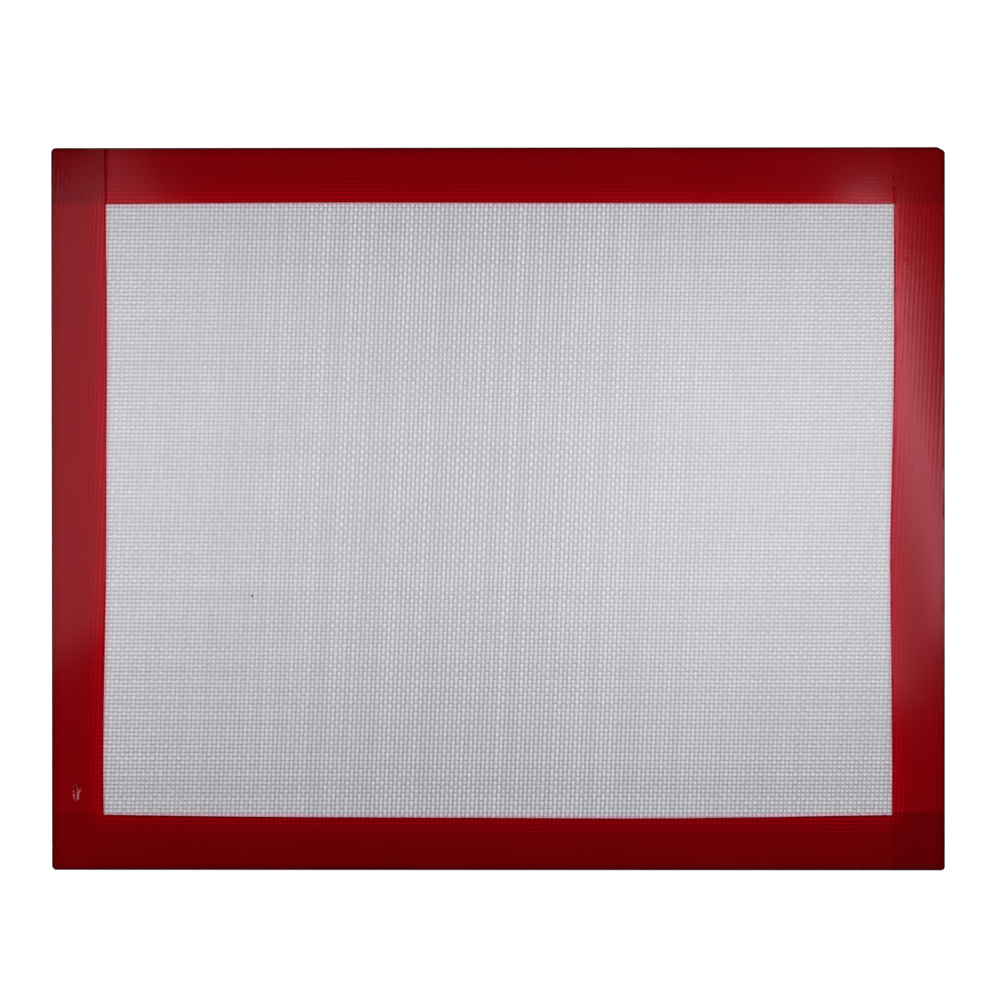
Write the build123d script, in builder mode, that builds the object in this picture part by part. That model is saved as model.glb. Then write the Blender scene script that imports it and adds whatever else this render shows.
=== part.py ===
from build123d import *
import os

# Silicone baking mat: a flat sheet of woven glass cloth, coated on both faces with clear silicone, whose cut
# edges are sealed by four wrapped strips of red silicone.
# The origin is at the middle of the back face. X runs along the long side, Y along the short side, and Z
# points out of the baking face. All sizes are in millimetres.

# Overall sheet
mat_length = 400.0
mat_width = 323.7

# Layers of the sheet, the same from either face inwards
edging_film = 0.12
coat_thickness = 0.15
cloth_thickness = 0.40

# Red edging: width of its legs on the faces, its wall beyond the cut edge of the cloth, the rounding of its
# rims, and the thinner film where one strip lies over another at a corner
side_strip_width = 24.0
end_strip_width = 24.6
edge_wall = 0.7
rim_radius = 0.35
largest_rim_share = 0.4
lap_film = 0.06

# Corners, as the sheet was trimmed. The upper right one was cut flat.
upper_left_radius = 2.1
lower_left_radius = 2.0
lower_right_radius = 1.7
upper_right_cut_length = 3.4
upper_right_cut_width = 1.9
upper_right_radius = 1.8

# How far the two left corners stand in from a true rectangle
lower_left_inset = 0.43
lower_left_rise = 0.23
upper_left_drop = 0.45

# Overrun of the cutting solids past the faces that they cut
overrun = 5.0

# Inner edge of each strip, which wanders a little: the place along the mat's side, as a share of that side
# from its middle, and the width there, as a share of the strip's width
left_edge_shares = (
    (-0.46, 1.000),
    (-0.36, 0.978),
    (-0.27, 0.987),
    (-0.13, 1.022),
    (0.00, 1.036),
    (0.12, 1.038),
    (0.20, 1.047),
    (0.32, 1.037),
    (0.46, 1.020),
)
right_edge_shares = (
    (-0.46, 0.991),
    (-0.34, 0.990),
    (-0.20, 1.006),
    (-0.06, 1.024),
    (0.06, 0.992),
    (0.18, 0.956),
    (0.32, 0.953),
    (0.46, 0.950),
)
bottom_edge_shares = (
    (-0.46, 1.025),
    (-0.36, 0.999),
    (-0.20, 0.972),
    (-0.04, 0.964),
    (0.14, 0.950),
    (0.28, 0.969),
    (0.40, 1.004),
    (0.46, 1.015),
)
top_edge_shares = (
    (-0.46, 1.050),
    (-0.36, 1.036),
    (-0.22, 1.016),
    (-0.06, 1.018),
    (0.10, 1.022),
    (0.26, 1.034),
    (0.46, 1.038),
)

# Values worked out from those above
half_length = mat_length / 2
half_width = mat_width / 2
core_thickness = 2 * coat_thickness + cloth_thickness
mat_thickness = core_thickness + 2 * edging_film
back_coat_base = edging_film
cloth_base = back_coat_base + coat_thickness
front_coat_base = cloth_base + cloth_thickness

# Outline of the whole mat
with BuildSketch() as mat_outline:
    with BuildLine():
        FilletPolyline(
            (lower_left_inset - half_length, lower_left_rise - half_width),
            (half_length, -half_width),
            (half_length, half_width - upper_right_cut_width),
            (half_length - upper_right_cut_length, half_width),
            (-half_length, half_width - upper_left_drop),
            radius=[
                lower_left_radius,
                lower_right_radius,
                upper_right_radius,
                upper_right_radius,
                upper_left_radius,
            ],
            close=True,
        )
    make_face()

# Outline of the coated cloth, which stops short of the mat's edge by the edging's wall
with BuildSketch() as core_outline:
    add(mat_outline.sketch)
    offset(amount=-edge_wall, mode=Mode.REPLACE)

# Area that each side strip covers, at the left and the right, drawn past the mat's edges
side_areas = {}
for name, side, edge_shares in (("edging_left", -1, left_edge_shares), ("edging_right", 1, right_edge_shares)):
    inner_points = [
        (side * (half_length - side_strip_width * width), mat_width * place) for place, width in edge_shares
    ]
    outer_x = side * (half_length + overrun)
    outer_y = half_width + overrun
    with BuildSketch() as side_area:
        with BuildLine():
            inner_edge = Spline(inner_points)
            Polyline(
                inner_edge @ 1,
                (inner_points[-1][0], outer_y),
                (outer_x, outer_y),
                (outer_x, -outer_y),
                (inner_points[0][0], -outer_y),
                inner_edge @ 0,
            )
        make_face()
    side_areas[name] = side_area.sketch

# Area that each end strip covers, at the bottom and the top, drawn past the mat's edges
end_areas = {}
for name, side, edge_shares in (("edging_bottom", -1, bottom_edge_shares), ("edging_top", 1, top_edge_shares)):
    inner_points = [
        (mat_length * place, side * (half_width - end_strip_width * width)) for place, width in edge_shares
    ]
    outer_x = half_length + overrun
    outer_y = side * (half_width + overrun)
    with BuildSketch() as end_area:
        with BuildLine():
            inner_edge = Spline(inner_points)
            Polyline(
                inner_edge @ 1,
                (outer_x, inner_points[-1][1]),
                (outer_x, outer_y),
                (-outer_x, outer_y),
                (-outer_x, inner_points[0][1]),
                inner_edge @ 0,
            )
        make_face()
    end_areas[name] = end_area.sketch

# Woven glass cloth, which carries the mat
with BuildPart() as glass_cloth:
    with BuildSketch(Plane.XY.offset(cloth_base)):
        add(core_outline.sketch)
    extrude(amount=cloth_thickness)

# Clear silicone coat on the cloth's back
with BuildPart() as back_coat:
    with BuildSketch(Plane.XY.offset(back_coat_base)):
        add(core_outline.sketch)
    extrude(amount=coat_thickness)

# Clear silicone coat on the cloth's front, the baking face
with BuildPart() as front_coat:
    with BuildSketch(Plane.XY.offset(front_coat_base)):
        add(core_outline.sketch)
    extrude(amount=coat_thickness)

pieces = {"glass_cloth": glass_cloth, "back_coat": back_coat, "front_coat": front_coat}

# Room that the four strips share: the whole mat with rounded rims, less the coated cloth
with BuildPart() as edging_room:
    with BuildSketch():
        add(mat_outline.sketch)
    extrude(amount=mat_thickness)
    edges_by_height = edges().group_by(Axis.Z)
    fillet(edges_by_height[0] + edges_by_height[-1], radius=min(rim_radius, mat_thickness * largest_rim_share))
    with BuildSketch(Plane.XY.offset(edging_film)):
        add(core_outline.sketch)
    extrude(amount=core_thickness, mode=Mode.SUBTRACT)

# End strips, laid first. Each runs the mat's full length, and its films are thinned under the side strips.
for name, area in end_areas.items():
    with BuildPart() as end_strip:
        add(edging_room.part)
        with BuildSketch(Plane.XY.offset(-overrun)):
            add(area)
        extrude(amount=mat_thickness + 2 * overrun, mode=Mode.INTERSECT)
        for lap_base in (-overrun, mat_thickness - lap_film):
            with BuildSketch(Plane.XY.offset(lap_base)):
                add(side_areas.values())
            extrude(amount=lap_film + overrun, mode=Mode.SUBTRACT)
    pieces[name] = end_strip

# Side strips, laid last. At the corners only their films go on, over the end strips.
for name, area in side_areas.items():
    with BuildPart() as side_strip:
        add(edging_room.part)
        with BuildSketch(Plane.XY.offset(-overrun)):
            add(area)
        extrude(amount=mat_thickness + 2 * overrun, mode=Mode.INTERSECT)
        with BuildSketch(Plane.XY.offset(lap_film)):
            add(end_areas.values())
        extrude(amount=mat_thickness - 2 * lap_film, mode=Mode.SUBTRACT)
    pieces[name] = side_strip

os.makedirs("parts", exist_ok=True)
for name, piece in pieces.items():
    piece.part.label = name
    export_step(piece.part, f"parts/{name}.step")
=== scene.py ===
import math

import bmesh
import bpy
import numpy as np
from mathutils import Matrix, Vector


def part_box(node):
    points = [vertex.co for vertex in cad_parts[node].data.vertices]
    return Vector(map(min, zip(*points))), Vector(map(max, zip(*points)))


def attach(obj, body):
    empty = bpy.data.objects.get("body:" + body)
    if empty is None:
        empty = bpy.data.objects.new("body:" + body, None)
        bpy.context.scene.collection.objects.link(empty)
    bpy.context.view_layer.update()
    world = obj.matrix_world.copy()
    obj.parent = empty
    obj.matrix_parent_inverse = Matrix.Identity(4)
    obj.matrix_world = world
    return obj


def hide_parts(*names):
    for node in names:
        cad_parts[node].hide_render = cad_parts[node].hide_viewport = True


bl_info = {
    "name": "Silicone Baking Mat",
    "version": (1, 0, 0),
    "blender": (4, 5, 0),
    "location": "3D View > Sidebar > Baking Mat",
    "description": "Silicone baking mat: coated glass yarns, clear silicone webs and red silicone edging",
    "category": "Add Mesh",
}

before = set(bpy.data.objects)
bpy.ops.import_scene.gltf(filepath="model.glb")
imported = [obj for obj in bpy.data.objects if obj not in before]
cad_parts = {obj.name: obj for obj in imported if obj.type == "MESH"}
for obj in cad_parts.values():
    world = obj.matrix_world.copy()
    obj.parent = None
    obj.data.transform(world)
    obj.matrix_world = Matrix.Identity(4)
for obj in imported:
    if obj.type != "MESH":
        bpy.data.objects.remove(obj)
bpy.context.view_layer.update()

MM = 0.001

# Heights through the mat's thickness, from the frame
BACK_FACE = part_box("edging_left")[0].z
FRONT_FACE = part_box("edging_left")[1].z
CORE_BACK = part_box("back_coat")[0].z
CORE_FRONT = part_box("front_coat")[1].z
MIDDLE = (CORE_BACK + CORE_FRONT) / 2

# Corners of the mat's outline, going round from the lower left. The upper right one is cut flat.
OUTLINE = [
    (-199.57 * MM, -161.62 * MM),
    (200.0 * MM, -161.85 * MM),
    (200.0 * MM, 159.95 * MM),
    (196.6 * MM, 161.85 * MM),
    (-200.0 * MM, 161.40 * MM),
]

# Strips: the axis across each, the direction from the mat's middle to it, and the painted light that scales
# its red
STRIPS = {"bottom": (1, -1, 0.95), "top": (1, 1, 1.18), "left": (0, -1, 1.18), "right": (0, 1, 1.25)}
LEAST_STRIP_WIDTH = 15 * MM

# How much darker a side strip is in its lower and in its upper corner, over an end strip: partly its two
# layers of film, partly painted shade that takes back the strip's painted light
DOUBLED_AND_PAINTED_SHADE = {"left": (0.47, 0.75), "right": (1.0, 0.58)}

# Edging: smooth rim, rise of the print, thin inner margin, reach of the lap's groove, start of the pocket
SMOOTH_RIM, PRINT_RISE, THIN_MARGIN, GROOVE_REACH = 0.5 * MM, 1.5 * MM, 0.5 * MM, 0.1 * MM
POCKET_START = 0.5 * MM

# Where the field's painted light and shade change, from its own middle towards the side strips and the end
# strips
FIELD_MIDDLE = (-8 * MM, 20 * MM)
FIELD_REACHES = ((15 * MM, 175 * MM), (30 * MM, 150 * MM))

# Ramps over the distance outside the window: (start, end), or (start, end, first value, last value)
WIDE_BLUSH, NARROW_BLUSH = (-3.4 * MM, -0.9 * MM), (-1.15 * MM, -0.55 * MM)
WIDE_GLOW, NARROW_GLOW = (14 * MM, 4 * MM, 0.0, 0.13), (7 * MM, 1.4 * MM, 0.0, 0.32)
ALONG_PRINT, OVER_PRINT = (11 * MM, 2 * MM, 0.1, 0.44), (11 * MM, 2 * MM, 0.07, 0.2)
EDGE_LINE, FEATHER = (1.15 * MM, 0.6 * MM), (0.16 * MM, 0.02 * MM, 0.0, 0.8)

# Ramps over the distance inside the outline, darker towards the rim: partly no cloth behind the film, partly
# painted shade on the rounded rim; and over the distance from the lap
RIMS = ((0.0, 5.5 * MM, 0.74, 1.0), (0.0, 1.7 * MM, 0.5, 1.0), (0.1 * MM, 0.6 * MM, 0.5, 1.0))
SEAM = (0.5 * MM, 0.15 * MM, 0.0, 0.4)

# Surfaces: gloss, drawn-out noise, half sizes of the spots
FIELD_SPECULAR, EDGING_SPECULAR = 0.3, 0.135
STREAKS = {"warp": (9000.0, 300.0, 9000.0), "weft": (300.0, 9000.0, 9000.0)}
SCRATCHES = (1000.0, 560.0, 560.0)
SPECK_SIZE, SCUFF_SIZE = (0.44 * MM, 0.7 * MM, 1.0), (1.9 * MM, 3.6 * MM, 0.5 * MM)

# Yarns: sides of the section, margins of the lane in the UV map, step between the two sets' seeds
YARN_SIDES = 6
LANE_MARGIN, LANE_END_MARGIN = 0.06, 0.01
SEED_STEP = 100

# The webs end just inside the coats' rim
WEB_SCALE = 1 - 0.0002

# Lamps: name, place, width and length, turn in degrees, and power in watts
LAMPS = (
    ("Left box", (-0.295, 0.0065, 0.322), (0.363, 0.208), 34.4, 0.96),
    ("Right box", (0.1455, 0.0116, 0.349), (0.168, 0.232), 0.0, 0.71),
    ("Right tube", (0.224, 0.051, 0.344), (0.015, 0.247), 12.5, 0.276),
)

# Floor: corners round it, rings of its flat part, and steps and share of the bend at its rim
FLOOR_TURNS, FLOOR_RINGS, BEND_STEPS, BEND_SHARE = 96, (0.5, 1.0, 1.6, 2.2), 12, 0.15

# Tolerances: for places that touch, vertices that are one, places on a cutting plane, and flat angles
TOUCHING, SAME, ON_PLANE, FLAT_ANGLE = 1e-6, 1e-7, 1e-8, 1e-4

NUMBER, WHOLE, VECTOR = "NodeSocketFloat", "NodeSocketInt", "NodeSocketVector"


# Measures on the mat


def inner_edge(side):
    """Points along the inner edge of a strip's front film, sorted along the strip, as (along, across)."""
    across, outward, _ = STRIPS[side]
    places = np.array([v.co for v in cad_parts[f"edging_{side}"].data.vertices])
    on_top = places[:, 2] > FRONT_FACE - TOUCHING
    inside = outward * places[:, across] < abs(OUTLINE[1][across]) - LEAST_STRIP_WIDTH
    found = places[on_top & inside]
    order = np.argsort(found[:, 1 - across])
    return found[order, 1 - across], found[order, across]


WINDOW_EDGES = {side: inner_edge(side) for side in STRIPS}


def window_gap(x, y):
    """How far each place lies outside the window that the edging leaves, and below 0 inside it."""
    beyond_left = np.interp(y, *WINDOW_EDGES["left"]) - x
    beyond_right = x - np.interp(y, *WINDOW_EDGES["right"])
    beyond_bottom = np.interp(x, *WINDOW_EDGES["bottom"]) - y
    beyond_top = y - np.interp(x, *WINDOW_EDGES["top"])
    across = np.maximum(beyond_left, beyond_right)
    upward = np.maximum(beyond_bottom, beyond_top)
    outside = np.hypot(np.maximum(across, 0), np.maximum(upward, 0))
    return np.where(outside > 0, outside, np.maximum(across, upward))


def outline_gap(x, y):
    """How far each place lies inside the mat's outline."""
    gaps = []
    for (x0, y0), (x1, y1) in zip(OUTLINE, OUTLINE[1:] + OUTLINE[:1]):
        length = math.hypot(x1 - x0, y1 - y0)
        gaps.append(((x1 - x0) * (y - y0) - (y1 - y0) * (x - x0)) / length)
    return np.min(gaps, axis=0)


def lap_gap(x, y):
    """How far each place lies from the lap that shows in the upper left corner."""
    beside = np.abs(x - WINDOW_EDGES["left"][1][-1])
    below = np.maximum(WINDOW_EDGES["top"][1][0] - y, 0)
    return np.hypot(beside, below)


def lattice_span(weave):
    """Numbers of the first warp and weft of the modelled weave, and how many of each there are."""
    reach = np.array((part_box("edging_right")[0].x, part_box("edging_top")[0].y)) + weave.tuck
    reach[0] += weave.lean * reach[1]
    half = np.ceil(reach / (weave.warp_pitch, weave.weft_pitch)).astype(int)
    return -half, 2 * half + 1


def lattice_place(weave, x, y):
    """Where places lie in the weave, counted in yarns from its origin: among the warp, among the weft."""
    return (x - weave.origin_x - weave.lean * y) / weave.warp_pitch, (y - weave.origin_y) / weave.weft_pitch


# Helpers for meshes


def places_of(mesh):
    """The places of a mesh's vertices, one row each."""
    places = np.empty(len(mesh.vertices) * 3)
    mesh.vertices.foreach_get("co", places)
    return places.reshape(-1, 3)


def store(mesh, name, values):
    """Keeps one number for each vertex as an attribute of the mesh."""
    attribute = mesh.attributes.new(name, "FLOAT", "POINT")
    attribute.data.foreach_set("value", np.asarray(values, np.float32))


def store_gaps(mesh):
    """Keeps each vertex's distance from the window's edge and from the mat's outline."""
    places = places_of(mesh)
    store(mesh, "window_gap", window_gap(places[:, 0], places[:, 1]))
    store(mesh, "outline_gap", outline_gap(places[:, 0], places[:, 1]))


def finished(name, mesh, material, slot, *replaced):
    """An object of the mat's one body that stands for the given nodes of the frame."""
    mesh.name = name
    mesh.materials.clear()
    mesh.materials.append(material)
    piece = bpy.data.objects.new(name, mesh)
    bpy.context.scene.collection.objects.link(piece)
    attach(piece, "root")
    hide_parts(*replaced)
    return piece


# Helpers for node trees


def add(tree, kind, inputs=None, **settings):
    """A new node, with its settings, and its inputs linked where they are given a socket."""
    node = tree.nodes.new(kind)
    for key, value in settings.items():
        setattr(node, key, value)
    for key, value in (inputs or {}).items():
        if isinstance(value, bpy.types.NodeSocket):
            tree.links.new(value, node.inputs[key])
        else:
            node.inputs[key].default_value = value
    return node


def output(tree, kind, inputs=None, **settings):
    """The first output of a new node."""
    return add(tree, kind, inputs, **settings).outputs[0]


def maths(tree, operation, *values):
    return output(tree, "ShaderNodeMath", dict(enumerate(values)), operation=operation)


def linear(tree, value, factor, offset):
    return maths(tree, "MULTIPLY_ADD", value, factor, offset)


def product(tree, first, *others):
    """Values multiplied one after another."""
    for value in others:
        first = maths(tree, "MULTIPLY", first, value)
    return first


def vector_maths(tree, operation, *values):
    return output(tree, "ShaderNodeVectorMath", dict(enumerate(values)), operation=operation)


def scaled(tree, vector, scale):
    inputs = {0: vector, "Scale": scale}
    return output(tree, "ShaderNodeVectorMath", inputs, operation="SCALE")


def ramp(tree, value, start, end, low=0.0, high=1.0):
    """Goes smoothly from low, where value is at start, to high, where it is at end."""
    inputs = {"Value": value, "From Min": start, "From Max": end, "To Min": low, "To Max": high}
    return output(tree, "ShaderNodeMapRange", inputs, interpolation_type="SMOOTHSTEP")


def blend(tree, share, first, second, mode="MIX"):
    """Two colours mixed by share."""
    inputs = {0: share, 6: first, 7: second}
    return add(tree, "ShaderNodeMix", inputs, data_type="RGBA", blend_type=mode).outputs[2]


def new_tree(name, kind, inputs, outputs):
    """A node tree with named inputs and outputs, and its two end nodes."""
    tree = bpy.data.node_groups.new(name, kind)
    for key, (socket_type, value) in inputs.items():
        socket = tree.interface.new_socket(key, in_out="INPUT", socket_type=socket_type)
        if value is not None:
            socket.default_value = value
    for key, socket_type in outputs.items():
        tree.interface.new_socket(key, in_out="OUTPUT", socket_type=socket_type)
    return tree, tree.nodes.new("NodeGroupInput").outputs, tree.nodes.new("NodeGroupOutput")


def place_group(tree, group, inputs):
    return add(tree, "ShaderNodeGroup", inputs, node_tree=group).outputs


def scaled_colour(tree, colour, scale):
    """A plain colour made brighter or darker by a socket."""
    base = output(tree, "ShaderNodeRGB")
    base.default_value = (*colour, 1.0)
    return scaled(tree, base, scale)


def drawn_out_noise(tree, position, scale, detail):
    """Noise in streaks along the axis with the smallest scale."""
    place = output(tree, "ShaderNodeMapping", {"Vector": position, "Scale": scale})
    return output(tree, "ShaderNodeTexNoise", {"Vector": place, "Scale": 1.0, "Detail": detail})


def seen_directly(tree):
    """1 for what the camera, gloss or glass sees, and 0 for what only lights the mat."""
    path = add(tree, "ShaderNodeLightPath").outputs
    seen = maths(tree, "MAXIMUM", path["Is Camera Ray"], path["Is Glossy Ray"])
    return maths(tree, "MAXIMUM", seen, path["Is Transmission Ray"])


# Shader groups that several materials share


def weave_print_group():
    """Where a place lies in the weave: each output is 1 along the middle of a yarn and 0 between two."""
    name = "Weave Print"
    if name in bpy.data.node_groups:
        return bpy.data.node_groups[name]
    inputs = {
        "Position": (VECTOR, None),
        "Warp Pitch": (NUMBER, 0.002),
        "Weft Pitch": (NUMBER, 0.002),
        "Lean": (NUMBER, 0.0),
        "Origin X": (NUMBER, 0.0),
        "Origin Y": (NUMBER, 0.0),
    }
    tree, given, result = new_tree(name, "ShaderNodeTree", inputs, {"Warp": NUMBER, "Weft": NUMBER})
    place = add(tree, "ShaderNodeSeparateXYZ", {0: given["Position"]}).outputs
    drift = product(tree, place["Y"], given["Lean"])
    upright = maths(tree, "SUBTRACT", maths(tree, "SUBTRACT", place["X"], drift), given["Origin X"])
    across = maths(tree, "DIVIDE", upright, given["Warp Pitch"])
    risen = maths(tree, "SUBTRACT", place["Y"], given["Origin Y"])
    upward = maths(tree, "DIVIDE", risen, given["Weft Pitch"])
    for key, part in (("Warp", across), ("Weft", upward)):
        wave = maths(tree, "COSINE", product(tree, part, math.tau))
        tree.links.new(linear(tree, wave, 0.5, 0.5), result.inputs[key])
    return tree


def grain_group():
    """Uneven values about 0, from fine grain and from slow mottling."""
    name = "Silicone Grain"
    if name in bpy.data.node_groups:
        return bpy.data.node_groups[name]
    inputs = {"Position": (VECTOR, None), "Fine Scale": (NUMBER, 1500.0), "Slow Scale": (NUMBER, 25.0)}
    tree, given, result = new_tree(name, "ShaderNodeTree", inputs, {"Fine": NUMBER, "Slow": NUMBER})
    for key, scale, detail in (("Fine", "Fine Scale", 2.0), ("Slow", "Slow Scale", 3.0)):
        values = {"Vector": given["Position"], "Scale": given[scale], "Detail": detail}
        noise = output(tree, "ShaderNodeTexNoise", values)
        tree.links.new(maths(tree, "SUBTRACT", noise, 0.5), result.inputs[key])
    return tree


def spot_group():
    """A soft-edged elliptical spot: 1 inside it and 0 outside."""
    name = "Spot"
    if name in bpy.data.node_groups:
        return bpy.data.node_groups[name]
    inputs = {
        "Position": (VECTOR, None),
        "Centre": (VECTOR, (0.0, 0.0, 0.0)),
        "Size": (VECTOR, (0.001, 0.001, 1.0)),
        "Softness": (NUMBER, 0.4),
    }
    tree, given, result = new_tree(name, "ShaderNodeTree", inputs, {"Mask": NUMBER})
    away = vector_maths(tree, "SUBTRACT", given["Position"], given["Centre"])
    away = vector_maths(tree, "DIVIDE", away, given["Size"])
    distance = add(tree, "ShaderNodeVectorMath", {0: away}, operation="LENGTH").outputs["Value"]
    inner = maths(tree, "SUBTRACT", 1.0, given["Softness"])
    outer = maths(tree, "ADD", 1.0, given["Softness"])
    tree.links.new(ramp(tree, distance, outer, inner), result.inputs["Mask"])
    return tree


# Materials


def new_material(name, colour, inputs):
    """A material with one Principled shader, whose constant values are set on its own sockets."""
    material = bpy.data.materials.new(name)
    material.use_nodes = True
    material.diffuse_color = (*colour, 1.0)
    tree = material.node_tree
    shader = tree.nodes["Principled BSDF"]
    for key, value in inputs.items():
        shader.inputs[key].default_value = value
    position = add(tree, "ShaderNodeTexCoord").outputs["Object"]
    return material, tree, shader, position


def attribute(tree, name):
    return add(tree, "ShaderNodeAttribute", attribute_name=name).outputs["Fac"]


def weave_print(tree, position, weave):
    values = {"Position": position}
    for key in ("Warp Pitch", "Weft Pitch", "Lean", "Origin X", "Origin Y"):
        values[key] = getattr(weave, key.lower().replace(" ", "_"))
    return place_group(tree, weave_print_group(), values)


def stained(tree, colour, position, finish):
    """The colour with the small baked-on speck of the mat's left half."""
    values = {"Position": position, "Centre": (*finish.speck_place, MIDDLE), "Size": SPECK_SIZE}
    mask = place_group(tree, spot_group(), values)["Mask"]
    return blend(tree, product(tree, mask, 0.9), colour, (*finish.speck_colour, 1.0))


def blushed(tree, colour, finish):
    """The colour with the red tinge that the edging's thin margin gives to the cloth beside it."""
    gap = attribute(tree, "window_gap")
    narrow = ramp(tree, gap, *NARROW_BLUSH)
    for share in (product(tree, ramp(tree, gap, *WIDE_BLUSH), finish.blush), narrow):
        colour = blend(tree, share, colour, (*finish.blush_colour, 1.0), "MULTIPLY")
    return scaled(tree, colour, linear(tree, narrow, 0.2, 1.0))


def towards_strips(tree, position):
    """How far a place lies towards the side strips, and towards the end strips, each from 0 to 1."""
    place = add(tree, "ShaderNodeSeparateXYZ", {0: position}).outputs
    shares = []
    for part, middle, reach in zip(place, FIELD_MIDDLE, FIELD_REACHES):
        shares.append(ramp(tree, maths(tree, "ABSOLUTE", maths(tree, "SUBTRACT", part, middle)), *reach))
    return shares


def give_relief(tree, shader, height, depth):
    """Lets a shader's surface rise and fall by depth."""
    relief = output(tree, "ShaderNodeBump", {"Height": height, "Distance": depth, "Strength": 1.0})
    tree.links.new(relief, shader.inputs["Normal"])


def yarn_material(kind, finish):
    """Glass yarn under clear silicone: filament streaks along the yarn, and painted shade where the yarn
    dips, on the weft in the mat's middle, on the warp at its sides, more towards its ends.
    """
    fixed = {"Specular IOR Level": FIELD_SPECULAR}
    material, tree, shader, position = new_material(f"Coated {kind} yarn", finish.yarn_colour, fixed)
    sink, side_sink, level = (getattr(finish, f"{kind}_{part}") for part in ("sink", "side_sink", "level"))
    streaks = drawn_out_noise(tree, position, STREAKS[kind], 2.0)
    # Painted shade: the yarn is greyed where it dips, by a share that changes from the mat's middle to its
    # sides and ends
    dip = ramp(tree, maths(tree, "ABSOLUTE", attribute(tree, "swing")), 1.0, 0.1)
    sideways, endways = towards_strips(tree, position)
    depth = linear(tree, sideways, side_sink - sink, sink)
    depth = linear(tree, endways, finish.end_sink, depth)
    bright, deep = (*finish.yarn_colour, 1.0), (*finish.shaded_yarn_colour, 1.0)
    colour = blend(tree, product(tree, dip, depth), bright, deep)
    shade = linear(tree, maths(tree, "SUBTRACT", streaks, 0.5), 0.25, 1.0)
    # Painted light: the warp is drawn a little lighter and the weft a little darker than their own colour
    own = linear(tree, attribute(tree, "tint"), 0.08 * level, 0.96 * level)
    grain = place_group(tree, grain_group(), {"Position": position})
    mottled = linear(tree, grain["Slow"], 0.1, 1.02)
    # Painted light and shade: besides the slow mottling, a little darker towards the side strips and a
    # little lighter towards the end strips
    mottled = linear(tree, sideways, -0.05, mottled)
    mottled = linear(tree, endways, 0.03, mottled)
    colour = scaled(tree, scaled(tree, colour, product(tree, shade, own)), mottled)
    colour = stained(tree, blushed(tree, colour, finish), position, finish)
    tree.links.new(colour, shader.inputs["Base Color"])
    tree.links.new(linear(tree, grain["Fine"], 0.15, 0.23), shader.inputs["Roughness"])
    give_relief(tree, shader, streaks, 0.012 * MM)
    return material


def web_material(finish):
    """Clear silicone in the mesh windows, painted grey for the shade inside the mat behind it, with more
    painted shade towards the ends.
    """
    fixed = {"Specular IOR Level": FIELD_SPECULAR}
    material, tree, shader, position = new_material("Clear silicone", finish.shaded_web_colour, fixed)
    grain = place_group(tree, grain_group(), {"Position": position, "Fine Scale": 900.0})
    endways = towards_strips(tree, position)[1]
    shade = linear(tree, grain["Fine"], 0.5, 1.0)
    # Painted shade: the web is darker towards the mat's ends
    shade = product(tree, shade, linear(tree, endways, -finish.end_sink, 1.0))
    colour = blushed(tree, scaled_colour(tree, finish.shaded_web_colour, shade), finish)
    tree.links.new(stained(tree, colour, position, finish), shader.inputs["Base Color"])
    tree.links.new(linear(tree, grain["Fine"], 0.2, 0.3), shader.inputs["Roughness"])
    return material


def film_shade(tree, grain, beside, crossing):
    """Red film brightness, window to rim and at the lap, with painted light per strip and painted shade at
    rim and corners.
    """
    window, outline = attribute(tree, "window_gap"), attribute(tree, "outline_gap")
    glow = maths(tree, "ADD", ramp(tree, window, *WIDE_GLOW), 1.0)
    glow = maths(tree, "ADD", glow, ramp(tree, window, *NARROW_GLOW))
    # Darker towards the outline: partly no cloth behind the film, partly painted shade on the rounded rim
    rim = product(tree, *(ramp(tree, outline, *values) for values in RIMS))
    uneven = maths(tree, "ADD", grain["Slow"], ramp(tree, window, *ALONG_PRINT))
    along = product(tree, maths(tree, "SUBTRACT", beside, 0.5), maths(tree, "MAXIMUM", uneven, 0.05))
    over = product(tree, maths(tree, "SUBTRACT", crossing, 0.5), ramp(tree, window, *OVER_PRINT))
    woven = maths(tree, "ADD", maths(tree, "ADD", along, over), 1.0)
    mottled = linear(tree, grain["Slow"], 0.2, 1.0)
    mottled = linear(tree, grain["Fine"], 0.12, mottled)
    # Partly two layers of film, partly painted shade in the side strips' corners
    doubled_and_painted_shade = linear(tree, attribute(tree, "doubled_and_painted_shade"), -0.35, 1.0)
    # A darker line just outside the window's edge
    edge_line = product(tree, ramp(tree, window, *EDGE_LINE), linear(tree, crossing, -0.16, 0.47))
    seam = ramp(tree, attribute(tree, "lap_gap"), *SEAM)
    lines = maths(tree, "SUBTRACT", 1.0, maths(tree, "MAXIMUM", edge_line, seam))
    return product(tree, glow, rim, woven, mottled, doubled_and_painted_shade, attribute(tree, "painted_light_tone"), lines)


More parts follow.
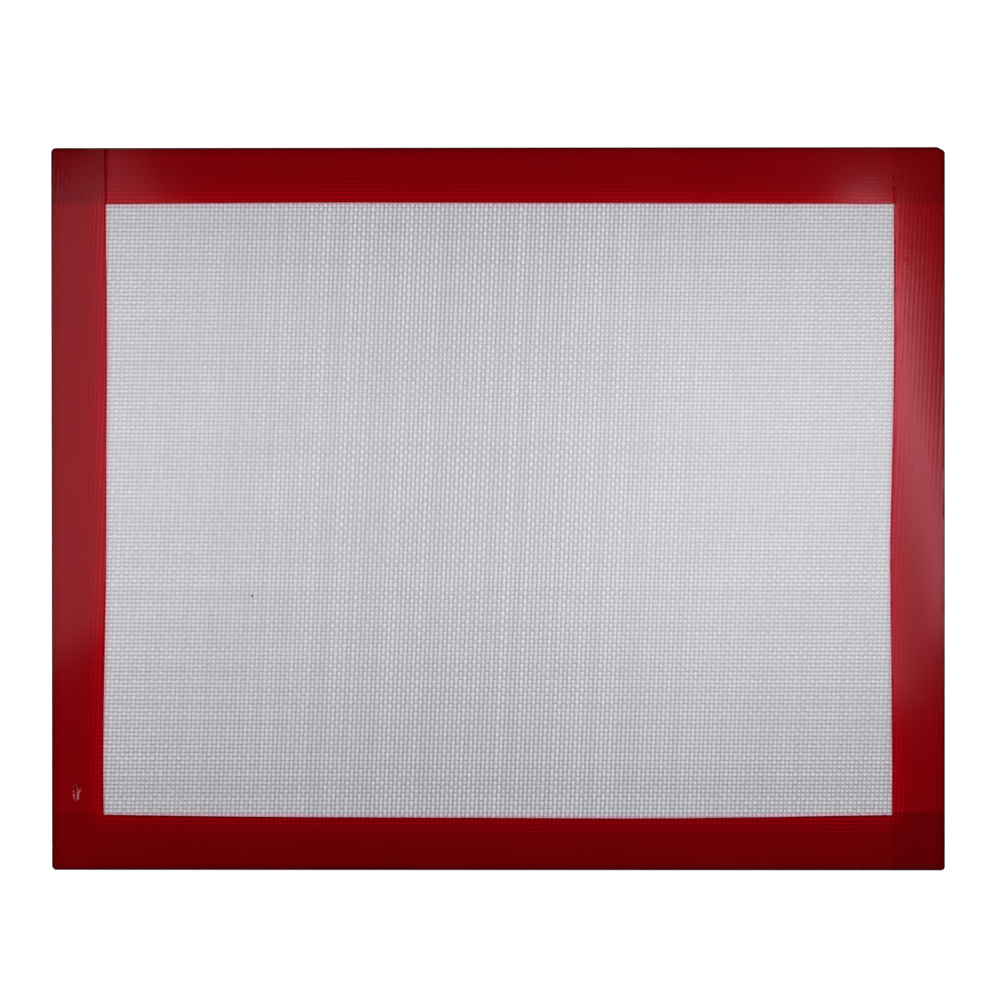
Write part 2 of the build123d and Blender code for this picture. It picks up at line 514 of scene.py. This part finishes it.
def edging_material(weave, finish):
    """Red silicone film over the woven cloth, with a thin inner margin and one scuff."""
    fixed = {"Specular IOR Level": EDGING_SPECULAR, "Specular Tint": (*finish.gloss_colour, 1.0)}
    material, tree, shader, position = new_material("Red silicone", finish.edging_colour, fixed)
    weave_here = weave_print(tree, position, weave)
    warp, weft, is_side = weave_here["Warp"], weave_here["Weft"], attribute(tree, "side_strip")
    beside = output(tree, "ShaderNodeMix", {0: is_side, 2: weft, 3: warp})
    crossing = output(tree, "ShaderNodeMix", {0: is_side, 2: warp, 3: weft})
    grain = place_group(tree, grain_group(), {"Position": position})
    colour = scaled_colour(tree, finish.edging_colour, film_shade(tree, grain, beside, crossing))
    feather = ramp(tree, attribute(tree, "window_gap"), *FEATHER)
    colour = blend(tree, feather, colour, (*finish.feather_colour, 1.0))

    centre = (*finish.scuff_place, FRONT_FACE)
    scuff_at = {"Position": position, "Centre": centre, "Size": SCUFF_SIZE, "Softness": 0.3}
    scuff = place_group(tree, spot_group(), scuff_at)["Mask"]
    scratches = drawn_out_noise(tree, position, SCRATCHES, 1.0)
    pressed = product(tree, scuff, ramp(tree, scratches, 0.5, 0.38, 0.0, 0.35))
    colour = scaled(tree, colour, maths(tree, "SUBTRACT", 1.0, pressed))
    worn = product(tree, scuff, ramp(tree, scratches, 0.53, 0.66))
    colour = blend(tree, worn, colour, (*finish.scuff_colour, 1.0))
    tree.links.new(colour, shader.inputs["Base Color"])

    rough = linear(tree, grain["Fine"], 0.1, finish.edging_roughness)
    tree.links.new(linear(tree, scuff, 0.15, rough), shader.inputs["Roughness"])
    relief = product(tree, maths(tree, "ADD", beside, crossing), 0.5)
    give_relief(tree, shader, linear(tree, grain["Fine"], 0.3, relief), 0.008 * MM)
    return material


def floor_material(finish):
    """Pale floor that the camera, gloss and glass see as white and that keeps the mat's shadow."""
    material, tree, shader, position = new_material("Pale floor", finish.floor_colour, {"Roughness": 0.9})
    noise = output(tree, "ShaderNodeTexNoise", {"Vector": position, "Scale": 3.0})
    shade = linear(tree, noise, 0.02, 0.99)
    tree.links.new(scaled_colour(tree, finish.floor_colour, shade), shader.inputs["Base Color"])
    shader.inputs["Emission Color"].default_value = (1.0, 1.0, 1.0, 1.0)
    lift = product(tree, seen_directly(tree), finish.floor_lift)
    tree.links.new(lift, shader.inputs["Emission Strength"])
    return material


# Woven yarns


def with_attribute(tree, geometry, name, value):
    """The geometry with one number kept for each point."""
    inputs = {"Geometry": geometry, "Name": name, "Value": value}
    return output(tree, "GeometryNodeStoreNamedAttribute", inputs)


def yarns_tree():
    """Parallel yarns that pass over and under a crossing set, as tubes with a flattened section."""
    name = "Woven Yarns"
    if name in bpy.data.node_groups:
        return bpy.data.node_groups[name]
    inputs = {
        "Yarn Count": (WHOLE, 10),
        "Crossing Count": (WHOLE, 10),
        "First Number": (WHOLE, 0),
        "Origin": (VECTOR, None),
        "Yarn Step": (VECTOR, None),
        "Crossing Step": (VECTOR, None),
        "Width": (NUMBER, 0.001),
        "Thickness": (NUMBER, 0.0003),
        "Crown Height": (NUMBER, 0.0002),
        "Crown Share": (NUMBER, 0.25),
        "Wander": (NUMBER, 0.0),
        "Width Spread": (NUMBER, 0.0),
        "Seed": (WHOLE, 1),
        "Material": ("NodeSocketMaterial", None),
    }
    tree, given, result = new_tree(name, "GeometryNodeTree", inputs, {"Geometry": "NodeSocketGeometry"})

    samples = product(tree, given["Crossing Count"], 2.0)
    yarns = {"Count": given["Yarn Count"]}
    line = output(tree, "GeometryNodeMeshLine", yarns, mode="OFFSET", count_mode="TOTAL")
    strand = output(tree, "GeometryNodeCurvePrimitiveLine", {"End": (0.0, 1.0, 0.0)})
    strand = output(tree, "GeometryNodeResampleCurve", {"Curve": strand, "Count": samples}, mode="COUNT")
    placed = output(tree, "GeometryNodeInstanceOnPoints", {"Points": line, "Instance": strand})
    strands = output(tree, "GeometryNodeRealizeInstances", {0: placed})

    index = output(tree, "GeometryNodeInputIndex")
    yarn = maths(tree, "FLOOR", maths(tree, "DIVIDE", maths(tree, "ADD", index, 0.25), samples))
    sample = maths(tree, "SUBTRACT", index, product(tree, yarn, samples))
    crossing = maths(tree, "FLOOR", linear(tree, sample, 0.5, 0.125))
    which = maths(tree, "SUBTRACT", sample, product(tree, crossing, 2.0))
    ahead = product(tree, linear(tree, which, 2.0, -1.0), given["Crown Share"])
    along = maths(tree, "ADD", crossing, ahead)
    order = maths(tree, "ADD", maths(tree, "ADD", yarn, crossing), given["First Number"])
    side = maths(tree, "COSINE", product(tree, order, math.pi))

    seeds = {"X": product(tree, along, 0.9), "Y": product(tree, yarn, 7.3), "Z": given["Seed"]}
    seeded = {"Vector": output(tree, "ShaderNodeCombineXYZ", seeds), "Scale": 0.7, "Detail": 1.0}
    noise = add(tree, "ShaderNodeTexNoise", seeded).outputs["Color"]
    parts = add(tree, "ShaderNodeSeparateXYZ", {0: noise}).outputs
    stray = product(tree, maths(tree, "SUBTRACT", parts["X"], 0.5), given["Wander"])
    swell = product(tree, maths(tree, "SUBTRACT", parts["Y"], 0.5), given["Width Spread"])
    yarn_number = {"ID": yarn, "Seed": given["Seed"]}
    own = add(tree, "FunctionNodeRandomValue", yarn_number, data_type="FLOAT").outputs[1]
    spread = linear(tree, maths(tree, "SUBTRACT", own, 0.5), given["Width Spread"], swell)

    beside = vector_maths(tree, "NORMALIZE", given["Yarn Step"])
    place = given["Origin"]
    for step, steps in ((given["Yarn Step"], yarn), (given["Crossing Step"], along), (beside, stray)):
        place = vector_maths(tree, "ADD", place, scaled(tree, step, steps))
    lifted = output(tree, "ShaderNodeCombineXYZ", {"Z": product(tree, side, given["Crown Height"])})
    place = vector_maths(tree, "ADD", place, lifted)
    moved = output(tree, "GeometryNodeSetPosition", {"Geometry": strands, "Position": place})
    radius = maths(tree, "ADD", spread, 1.0)
    sized = output(tree, "GeometryNodeSetCurveRadius", {"Curve": moved, "Radius": radius})
    level = output(tree, "GeometryNodeSetCurveNormal", {"Curve": sized}, mode="Z_UP")
    share = maths(tree, "DIVIDE", along, given["Crossing Count"])
    for key, value in (("along", share), ("strand", yarn), ("tint", own), ("swing", side)):
        level = with_attribute(tree, level, key, value)

    circle = {"Resolution": YARN_SIDES, "Radius": 0.5}
    ring = output(tree, "GeometryNodeCurvePrimitiveCircle", circle, mode="RADIUS")
    ring = with_attribute(tree, ring, "around", maths(tree, "DIVIDE", index, float(YARN_SIDES)))
    tall = maths(tree, "DIVIDE", given["Thickness"], math.sin(math.pi / 3))
    section = output(tree, "ShaderNodeCombineXYZ", {"X": given["Width"], "Y": tall, "Z": 1.0})
    ring = output(tree, "GeometryNodeTransform", {"Geometry": ring, "Scale": section})
    tubes = add(tree, "GeometryNodeCurveToMesh", {"Curve": level, "Profile Curve": ring, "Fill Caps": True})
    if "Scale" in tubes.inputs:
        tree.links.new(radius, tubes.inputs["Scale"])
    smooth = output(tree, "GeometryNodeSetShadeSmooth", {"Geometry": tubes.outputs[0]})
    real = output(tree, "GeometryNodeRealizeInstances", {0: smooth})
    coated = output(tree, "GeometryNodeSetMaterial", {"Geometry": real, "Material": given["Material"]})
    tree.links.new(coated, result.inputs[0])
    return tree


def tree_to_mesh(tree, values):
    """The plain mesh that a geometry tree makes from these inputs."""
    holder = bpy.data.objects.new("Holder", bpy.data.meshes.new("Holder"))
    bpy.context.scene.collection.objects.link(holder)
    modifier = holder.modifiers.new("Tree", "NODES")
    modifier.node_group = tree
    for item in tree.interface.items_tree:
        if item.item_type == "SOCKET" and item.in_out == "INPUT":
            modifier[item.identifier] = values[item.name]
    graph = bpy.context.evaluated_depsgraph_get()
    mesh = bpy.data.meshes.new_from_object(holder.evaluated_get(graph), depsgraph=graph)
    holder.modifiers.clear()
    bpy.data.objects.remove(holder)
    return mesh


def values_of(mesh, name):
    values = np.empty(len(mesh.vertices), np.float32)
    mesh.attributes[name].data.foreach_get("value", values)
    return values


def map_strands(mesh, count):
    """Unrolls every yarn into its own lane of the UV map."""
    corners = np.empty(len(mesh.loops), np.int64)
    mesh.loops.foreach_get("vertex_index", corners)
    starts = np.empty(len(mesh.polygons), np.int64)
    mesh.polygons.foreach_get("loop_start", starts)
    sizes = np.diff(np.append(starts, len(corners)))
    around = values_of(mesh, "around")[corners]
    lowest = np.repeat(np.minimum.reduceat(around, starts), sizes)
    highest = np.repeat(np.maximum.reduceat(around, starts), sizes)
    around = np.where((highest - lowest > 0.5) & (around < 0.5), around + 1, around)
    along = values_of(mesh, "along")[corners]
    lane = values_of(mesh, "strand")[corners]
    places = np.empty((len(corners), 2), np.float32)
    places[:, 0] = LANE_END_MARGIN + (1 - 2 * LANE_END_MARGIN) * along
    places[:, 1] = (lane + LANE_MARGIN + (1 - 2 * LANE_MARGIN) * around / 1.0001) / count
    mesh.uv_layers.new(name="OFBake").data.foreach_set("uv", places.ravel())


def lay_yarns(weave, kind, material):
    """The warp or the weft, in pieces small enough to handle."""
    steps = np.array([(weave.warp_pitch, 0.0, 0.0), (weave.lean * weave.weft_pitch, weave.weft_pitch, 0.0)])
    firsts, crossings = lattice_span(weave)
    lattice = np.array((weave.origin_x + weave.lean * weave.origin_y, weave.origin_y, MIDDLE))
    corner = lattice + firsts[0] * steps[0] + firsts[1] * steps[1]
    own = ("warp", "weft").index(kind)
    count, across = crossings[own], crossings[1 - own]
    for part in range(weave.parts):
        first, last = (count * number // weave.parts for number in (part, part + 1))
        values = {
            "Yarn Count": int(last - first),
            "Crossing Count": int(across),
            "First Number": int(sum(firsts) + first + own),
            "Origin": (corner + first * steps[own]).tolist(),
            "Yarn Step": steps[own].tolist(),
            "Crossing Step": steps[1 - own].tolist(),
            "Width": getattr(weave, f"{kind}_width"),
            "Thickness": getattr(weave, f"{kind}_thickness"),
            "Crown Height": (CORE_FRONT - MIDDLE) - weave.weft_thickness / 2,
            "Crown Share": getattr(weave, f"{kind}_crown_share"),
            "Wander": weave.wander,
            "Width Spread": weave.width_spread,
            "Seed": weave.seed + part + SEED_STEP * own,
            "Material": material,
        }
        mesh = tree_to_mesh(yarns_tree(), values)
        map_strands(mesh, last - first)
        store_gaps(mesh)
        finished(f"{kind}_yarns_{part + 1}", mesh, material, "glass_cloth", "glass_cloth")


# Clear silicone webs


def web_mesh(weave, node, outward):
    """A closed sheet of silicone with one dimple in each mesh window, facing up (1) or down (-1)."""
    firsts, crossings = lattice_span(weave)
    wide, high = crossings - 1
    across, upward = np.meshgrid(np.arange(wide + 1), np.arange(high + 1), indexing="ij")
    inner_across, inner_upward = np.meshgrid(np.arange(wide) + 0.5, np.arange(high) + 0.5, indexing="ij")

    def placed(i, k, height):
        y = weave.origin_y + weave.weft_pitch * (k + firsts[1])
        x = weave.origin_x + weave.lean * y + weave.warp_pitch * (i + firsts[0])
        return np.stack([x.ravel(), y.ravel(), np.full(x.size, MIDDLE + outward * height)], axis=1)

    crossings_at = placed(across, upward, weave.web_rise)
    windows_at = placed(inner_across, inner_upward, weave.web_dip)
    rim = places_of(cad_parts[node].data)
    rim = np.unique(np.round(rim[:, :2], 6), axis=0) * WEB_SCALE
    rim = rim[np.argsort(np.arctan2(rim[:, 1], rim[:, 0]))]
    outer = np.column_stack([rim, np.full(len(rim), MIDDLE + outward * weave.web_rise)])
    under = np.column_stack([rim, np.full(len(rim), MIDDLE + outward * weave.web_base)])
    places = np.concatenate([crossings_at, windows_at, outer, under])

    corner = (across[:-1, :-1] * (high + 1) + upward[:-1, :-1]).ravel()
    right, up = corner + high + 1, corner + 1
    far = right + 1
    centre = len(crossings_at) + np.arange(wide * high)
    faces = []
    for a, b in ((corner, right), (right, far), (far, up), (up, corner)):
        faces.extend(np.stack([a, b, centre], axis=1).tolist())
    start = len(crossings_at) + len(windows_at)
    count = len(rim)
    ring, base = range(start, start + count), range(start + count, start + 2 * count)
    faces.append(list(base[::-1]))
    for n in range(count):
        following = (n + 1) % count
        faces.append([ring[following], ring[n], base[n], base[following]])

    mesh = bpy.data.meshes.new(node)
    mesh.from_pydata(places.tolist(), [], faces)
    bm = bmesh.new()
    bm.from_mesh(mesh)
    open_edges = [e for e in bm.edges if len(e.link_faces) == 1]
    bmesh.ops.triangle_fill(bm, edges=open_edges, use_beauty=True)
    bmesh.ops.recalc_face_normals(bm, faces=bm.faces[:])
    bm.to_mesh(mesh)
    bm.free()
    mesh.shade_smooth()
    mesh.set_sharp_from_angle(angle=math.radians(50))
    return mesh


# Red edging


def cut_across(bm, faces, planes, normal):
    """Cuts faces by parallel planes, given in order."""
    ahead = list(faces)
    for point in planes:
        edges = {e for f in ahead for e in f.edges}
        verts = {v for f in ahead for v in f.verts}
        found = bmesh.ops.bisect_plane(
            bm, geom=[*verts, *edges, *ahead], dist=ON_PLANE, plane_co=point, plane_no=normal)
        level = normal.dot(Vector(point)) + ON_PLANE
        ahead = [
            f for f in found["geom"]
            if isinstance(f, bmesh.types.BMFace) and any(normal.dot(v.co) > level for v in f.verts)
        ]


def outer_faces(bm):
    """The faces of a strip that can be seen: all but those of the pocket that holds the cloth."""
    found = []
    for face in bm.faces:
        heights = [v.co.z for v in face.verts]
        in_core = max(heights) < CORE_FRONT + SAME and min(heights) > CORE_BACK - SAME
        middle = face.calc_center_median()
        if not (in_core and outline_gap(middle.x, middle.y) > POCKET_START):
            found.append(face)
    return found


def cut_along_weave(name, weave):
    """A copy of a strip, cut along the middle of every yarn and of every gap between two."""
    bm = bmesh.new()
    bm.from_mesh(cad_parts[name].data)
    bmesh.ops.remove_doubles(bm, verts=bm.verts[:], dist=SAME)
    bmesh.ops.dissolve_limit(bm, angle_limit=FLAT_ANGLE, verts=bm.verts[:], edges=bm.edges[:])
    low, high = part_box(name)
    drift = weave.lean * max(abs(low.y), abs(high.y))
    cuts = []
    for axis, start, end, origin, half, normal in (
        (1, low.y, high.y, weave.origin_y, weave.weft_pitch / 2, (0.0, 1.0, 0.0)),
        (0, low.x - drift, high.x + drift, weave.origin_x, weave.warp_pitch / 2, (1.0, -weave.lean, 0.0)),
    ):
        first, last = (math.floor((edge - origin) / half) for edge in (start, end))
        planes = np.zeros((last + 1 - first, 3))
        planes[:, axis] = origin + half * np.arange(first, last + 1)
        cuts.append((planes.tolist(), Vector(normal).normalized()))
    for planes, normal in sorted(cuts, key=lambda cut: -len(cut[0])):
        cut_across(bm, outer_faces(bm), planes, normal)
    bmesh.ops.triangulate(bm, faces=[f for f in bm.faces if len(f.verts) > 4])
    mesh = bpy.data.meshes.new(name)
    bm.to_mesh(mesh)
    bm.free()
    return mesh


def dressed_strip(side, weave, finish):
    """A strip of the edging with the weave's relief on both films and a serrated, feathered inner edge."""
    mesh = cut_along_weave(f"edging_{side}", weave)
    axis, outward, tone = STRIPS[side]
    places = places_of(mesh)
    x, y, z = places.T.copy()
    window, outline, lap = window_gap(x, y), outline_gap(x, y), lap_gap(x, y)
    across, upward = lattice_place(weave, x, y)

    height = 0.5 + 0.25 * (np.cos(math.tau * across) + np.cos(math.tau * upward))
    sink = weave.relief * (1 - height) * np.clip((outline - SMOOTH_RIM) / PRINT_RISE, 0, 1)
    sink = np.maximum(sink, finish.feather_drop * np.clip(1 - window / THIN_MARGIN, 0, 1))
    sink = np.maximum(sink, finish.lap_groove * (lap < GROOVE_REACH))
    on_face = (z > FRONT_FACE - TOUCHING) | (z < BACK_FACE + TOUCHING)
    places[:, 2] = z + np.where(on_face, np.where(z > MIDDLE, -sink, sink), 0.0)
    reach = finish.serration * 0.5 * np.cos(math.tau * (across if axis else upward))
    places[:, axis] -= np.where(np.abs(window) < TOUCHING, outward * reach, 0.0)
    mesh.vertices.foreach_set("co", places.ravel())
    mesh.update()

    store_gaps(mesh)
    store(mesh, "side_strip", np.full(len(x), 1.0 - axis))
    store(mesh, "lap_gap", lap)
    # Painted light: each strip's red is made lighter or darker by its own factor
    store(mesh, "painted_light_tone", np.full(len(x), tone))
    # Darker corners: partly the doubled film, partly painted shade
    lower, upper = DOUBLED_AND_PAINTED_SHADE.get(side, (0.0, 0.0))
    in_corner = np.abs(y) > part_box("edging_top")[0].y
    store(mesh, "doubled_and_painted_shade", np.where(in_corner, np.where(y > 0, upper, lower), 0.0))
    mesh.shade_smooth()
    mesh.set_sharp_from_angle(angle=math.radians(40))
    return mesh


# Stage


def floor_mesh(stage):
    """A wide round floor whose rim rises into a backdrop."""
    turns = FLOOR_TURNS
    profile = [(ring * stage.floor_radius / FLOOR_RINGS[-1], 0.0) for ring in FLOOR_RINGS]
    bend = stage.floor_radius * BEND_SHARE
    for step in range(1, BEND_STEPS + 1):
        angle = math.pi / 2 * step / BEND_STEPS
        profile.append((stage.floor_radius + bend * math.sin(angle), bend * (1 - math.cos(angle))))
    places, faces = [(0.0, 0.0, 0.0)], []
    for radius, height in profile:
        for turn in range(turns):
            angle = math.tau * turn / turns
            places.append((radius * math.cos(angle), radius * math.sin(angle), height))
    for turn in range(turns):
        faces.append((0, 1 + turn, 1 + (turn + 1) % turns))
    for ring in range(len(profile) - 1):
        for turn in range(turns):
            a, b = 1 + ring * turns + turn, 1 + ring * turns + (turn + 1) % turns
            faces.append((a, a + turns, b + turns, b))
    mesh = bpy.data.meshes.new("floor")
    mesh.from_pydata(places, [], faces)
    mesh.shade_smooth()
    return mesh


def add_lamp(name, place, size, turn, power):
    """A flat soft lamp that faces down."""
    lamp = bpy.data.lights.new(name, "AREA")
    lamp.shape = "RECTANGLE"
    lamp.size, lamp.size_y = size
    lamp.energy = power
    holder = bpy.data.objects.new(name, lamp)
    holder.location = place
    holder.rotation_euler.z = math.radians(turn)
    bpy.context.scene.collection.objects.link(holder)


def set_world(stage):
    """Dim ceiling over a pale horizon, which only the camera, gloss and glass see as white."""
    world = bpy.data.worlds.new("Studio")
    bpy.context.scene.world = world
    world.use_nodes = True
    tree = world.node_tree
    tree.nodes.clear()
    height = add(tree, "ShaderNodeSeparateXYZ", {0: add(tree, "ShaderNodeTexCoord").outputs["Generated"]})
    horizon = ramp(tree, height.outputs["Z"], 0.35, 0.15)
    seen = seen_directly(tree)
    dim = blend(tree, seen, *((level, level, level, 1.0) for level in (stage.ambient, stage.gloss_ceiling)))
    colour = blend(tree, product(tree, seen, horizon), dim, (1.0, 1.0, 1.0, 1.0))
    background = output(tree, "ShaderNodeBackground", {"Color": colour, "Strength": 1.0})
    add(tree, "ShaderNodeOutputWorld", {"Surface": background})


# Settings


def setting(kind, **fixed):
    """A maker of settings of one kind, each from a name, a description and a value."""
    def make(name, description, value):
        return kind(name=name, description=description, default=value, **fixed)
    return make


length = setting(bpy.props.FloatProperty, subtype="DISTANCE", unit="LENGTH", precision=6)
share = setting(bpy.props.FloatProperty, subtype="FACTOR")
whole = setting(bpy.props.IntProperty, min=1)
tone = setting(bpy.props.FloatVectorProperty, subtype="COLOR", size=3, min=0.0, max=1.0)
spot_place = setting(bpy.props.FloatVectorProperty, subtype="XYZ", unit="LENGTH", size=2)


class BakingMatWeave(bpy.types.PropertyGroup):
    warp_pitch: length("Warp Pitch", "Distance between lengthwise yarns", 1.946 * MM)
    weft_pitch: length("Weft Pitch", "Distance between crosswise yarns", 1.8075 * MM)
    lean: share("Lean", "How far the warp leans to the right on its way up", 0.0457)
    origin_x: length("Origin X", "Where one crossing lies along the mat", 0.35 * MM)
    origin_y: length("Origin Y", "Where one crossing lies across the mat", 0.2 * MM)
    warp_width: length("Warp Width", "Width of a lengthwise yarn with its coat", 1.6 * MM)
    weft_width: length("Weft Width", "Width of a crosswise yarn with its coat", 1.75 * MM)
    warp_thickness: length("Warp Thickness", "Thickness of a lengthwise yarn", 0.34 * MM)
    weft_thickness: length("Weft Thickness", "Thickness of a crosswise yarn", 0.33 * MM)
    warp_crown_share: share("Warp Crown", "Half length of a warp crown, as a share of its pitch", 0.1)
    weft_crown_share: share("Weft Crown", "Half length of a weft crown, as a share of its pitch", 0.1)
    wander: length("Wander", "How far a yarn strays sideways", 0.16 * MM)
    width_spread: share("Width Spread", "How unevenly wide the yarns are", 0.16)
    tuck: length("Tuck", "How far the modelled weave runs under the edging", 4.0 * MM)
    parts: whole("Parts", "Number of pieces for the warp, and for the weft", 4)
    seed: whole("Seed", "Seed of the weave's unevenness", 7)
    web_rise: length("Web Rise", "Height of the web at the yarns, above the mat's middle", 0.2 * MM)
    web_dip: length("Web Dip", "Height of the web in a mesh window, above the mat's middle", 0.14 * MM)
    web_base: length("Web Base", "Height of the web's inner side, above the mat's middle", 0.005 * MM)
    relief: length("Relief", "Depth of the weave's print in the edging", 0.022 * MM)


class BakingMatFinish(bpy.types.PropertyGroup):
    yarn_colour: tone("Yarn", "Colour of the glass yarns at their crowns", (0.765, 0.77, 0.808))
    # Painted shade: the colour the yarns are greyed to where they dip
    shaded_yarn_colour: tone("Deep Yarn", "Colour of the yarns where they dip", (0.41, 0.412, 0.44))
    # Painted shade: how far the yarns' dips are greyed in the mat's middle, at its sides and towards its
    # ends
    warp_sink: share("Warp Sink", "How grey the lengthwise yarns' dips are in the mat's middle", 0.0)
    warp_side_sink: share("Warp Side Sink", "How grey the lengthwise yarns' dips are at the sides", 0.95)
    weft_sink: share("Weft Sink", "How grey the crosswise yarns' dips are in the mat's middle", 0.95)
    weft_side_sink: share("Weft Side Sink", "How grey the crosswise yarns' dips are at the sides", 0.15)
    end_sink: share("End Sink", "How much greyer all dips are towards the mat's ends", 0.15)
    # Painted light: the warp's level is above 1 and the weft's below it
    warp_level: share("Warp Level", "How bright the lengthwise yarns are", 1.03)
    weft_level: share("Weft Level", "How bright the crosswise yarns are", 0.96)
    # Painted shade: grey for the shaded inside of the mat seen through the clear silicone
    shaded_web_colour: tone("Web", "Colour of the silicone in the mesh windows", (0.52, 0.525, 0.552))
    blush: share("Blush", "Strength of the red tinge beside the edging", 0.35)
    blush_colour: tone("Blush Colour", "Tinge beside the edging", (1.0, 0.65, 0.74))
    speck_place: spot_place("Speck Place", "Where the baked-on speck lies", (-110.0 * MM, -39.1 * MM))
    speck_colour: tone("Speck", "Colour of the baked-on speck", (0.07, 0.071, 0.078))
    edging_colour: tone("Edging", "Colour of the red silicone", (0.205, 0.0, 0.0018))
    gloss_colour: tone("Gloss", "Tint of the edging's gloss", (1.0, 0.42, 0.52))
    edging_roughness: share("Edging Roughness", "Roughness of the red silicone", 0.14)
    feather_colour: tone("Feather", "Colour of the edging where it thins out", (0.85, 0.42, 0.5))
    feather_drop: length("Feather Drop", "How far the film thins at its inner edge", 0.06 * MM)
    serration: length("Serration", "How far the inner edge draws back between yarns", 0.2 * MM)
    lap_groove: length("Lap Groove", "Depth of the groove along the lap in the upper left corner", 0.05 * MM)
    scuff_place: spot_place("Scuff Place", "Where the left strip is scuffed", (-188.5 * MM, -126.6 * MM))
    scuff_colour: tone("Scuff", "Colour of scuffed silicone", (0.62, 0.17, 0.2))
    floor_colour: tone("Floor", "Colour of the floor", (0.8, 0.8, 0.8))
    floor_lift: share("Floor Lift", "How much brighter than lit the floor is seen", 0.68)


class BakingMatStage(bpy.types.PropertyGroup):
    view_width: length("View Width", "Width of the picture at the mat", 447.4 * MM)
    view_x: length("View X", "Middle of the picture along the mat", 0.9 * MM)
    view_y: length("View Y", "Middle of the picture across the mat", 3.9 * MM)
    camera_height: length("Camera Height", "Height of the camera above the mat", 1.6)
    floor_radius: length("Floor Radius", "Radius of the flat part of the floor", 4.0)
    ambient: share("Ambient", "Level of the studio's ceiling", 0.1)
    gloss_ceiling: share("Gloss Ceiling", "Level of the ceiling as the mat's gloss shows it", 0.05)


SETTINGS = {
    "baking_mat_weave": BakingMatWeave,
    "baking_mat_finish": BakingMatFinish,
    "baking_mat_stage": BakingMatStage,
}


# Operators


class BAKINGMAT_OT_glass_cloth(bpy.types.Operator):
    """Weave the glass yarns, warp and weft"""
    bl_idname = "baking_mat.glass_cloth"
    bl_label = "Weave Glass Cloth"

    def execute(self, context):
        weave, finish = context.scene.baking_mat_weave, context.scene.baking_mat_finish
        for kind in ("warp", "weft"):
            lay_yarns(weave, kind, yarn_material(kind, finish))
        return {"FINISHED"}


class BAKINGMAT_OT_silicone_webs(bpy.types.Operator):
    """Fill the cloth's mesh windows with clear silicone, front and back"""
    bl_idname = "baking_mat.silicone_webs"
    bl_label = "Fill Silicone Webs"

    def execute(self, context):
        weave, finish = context.scene.baking_mat_weave, context.scene.baking_mat_finish
        material = web_material(finish)
        for name, node, outward in (("front_web", "front_coat", 1), ("back_web", "back_coat", -1)):
            mesh = web_mesh(weave, node, outward)
            store_gaps(mesh)
            finished(name, mesh, material, "clear_silicone", node)
        return {"FINISHED"}


class BAKINGMAT_OT_edging(bpy.types.Operator):
    """Wrap the four red silicone strips round the mat's edges"""
    bl_idname = "baking_mat.edging"
    bl_label = "Wrap Red Edging"

    def execute(self, context):
        weave, finish = context.scene.baking_mat_weave, context.scene.baking_mat_finish
        material = edging_material(weave, finish)
        for side in STRIPS:
            mesh = dressed_strip(side, weave, finish)
            finished(f"{side}_strip", mesh, material, "red_silicone", f"edging_{side}")
        return {"FINISHED"}


class BAKINGMAT_OT_stage(bpy.types.Operator):
    """Set up the floor, the lamps, the world and the camera"""
    bl_idname = "baking_mat.stage"
    bl_label = "Set Up Stage"

    def execute(self, context):
        stage, finish = context.scene.baking_mat_stage, context.scene.baking_mat_finish
        floor = bpy.data.objects.new("floor", floor_mesh(stage))
        floor.data.materials.append(floor_material(finish))
        context.scene.collection.objects.link(floor)
        set_world(stage)
        for lamp in LAMPS:
            add_lamp(*lamp)
        camera = bpy.data.cameras.new("Camera")
        camera.lens = camera.sensor_width * stage.camera_height / stage.view_width
        holder = bpy.data.objects.new("Camera", camera)
        holder.location = (stage.view_x, stage.view_y, FRONT_FACE + stage.camera_height)
        context.scene.collection.objects.link(holder)
        context.scene.camera = holder
        context.scene.view_settings.view_transform = "Standard"
        return {"FINISHED"}


OPERATORS = (
    BAKINGMAT_OT_stage,
    BAKINGMAT_OT_glass_cloth,
    BAKINGMAT_OT_silicone_webs,
    BAKINGMAT_OT_edging,
)


class BAKINGMAT_PT_panel(bpy.types.Panel):
    """Settings and building steps of the baking mat"""
    bl_idname = "BAKINGMAT_PT_panel"
    bl_label = "Baking Mat"
    bl_space_type = "VIEW_3D"
    bl_region_type = "UI"
    bl_category = "Baking Mat"

    def draw(self, context):
        for key, group in SETTINGS.items():
            box = self.layout.box()
            for name in group.__annotations__:
                box.prop(getattr(context.scene, key), name)
        for operator in OPERATORS:
            self.layout.operator(operator.bl_idname)


def register():
    for kind in (*SETTINGS.values(), *OPERATORS, BAKINGMAT_PT_panel):
        bpy.utils.register_class(kind)
    for key, group in SETTINGS.items():
        setattr(bpy.types.Scene, key, bpy.props.PointerProperty(type=group))


def unregister():
    for key in SETTINGS:
        delattr(bpy.types.Scene, key)
    for kind in reversed((*SETTINGS.values(), *OPERATORS, BAKINGMAT_PT_panel)):
        bpy.utils.unregister_class(kind)


def main():
    """Builds the mat on its stage."""
    register()
    for operator in OPERATORS:
        group, name = operator.bl_idname.split(".")
        if getattr(getattr(bpy.ops, group), name)() != {"FINISHED"}:
            raise RuntimeError(f"{operator.bl_idname} did not finish")


if __name__ == "__main__":
    main()
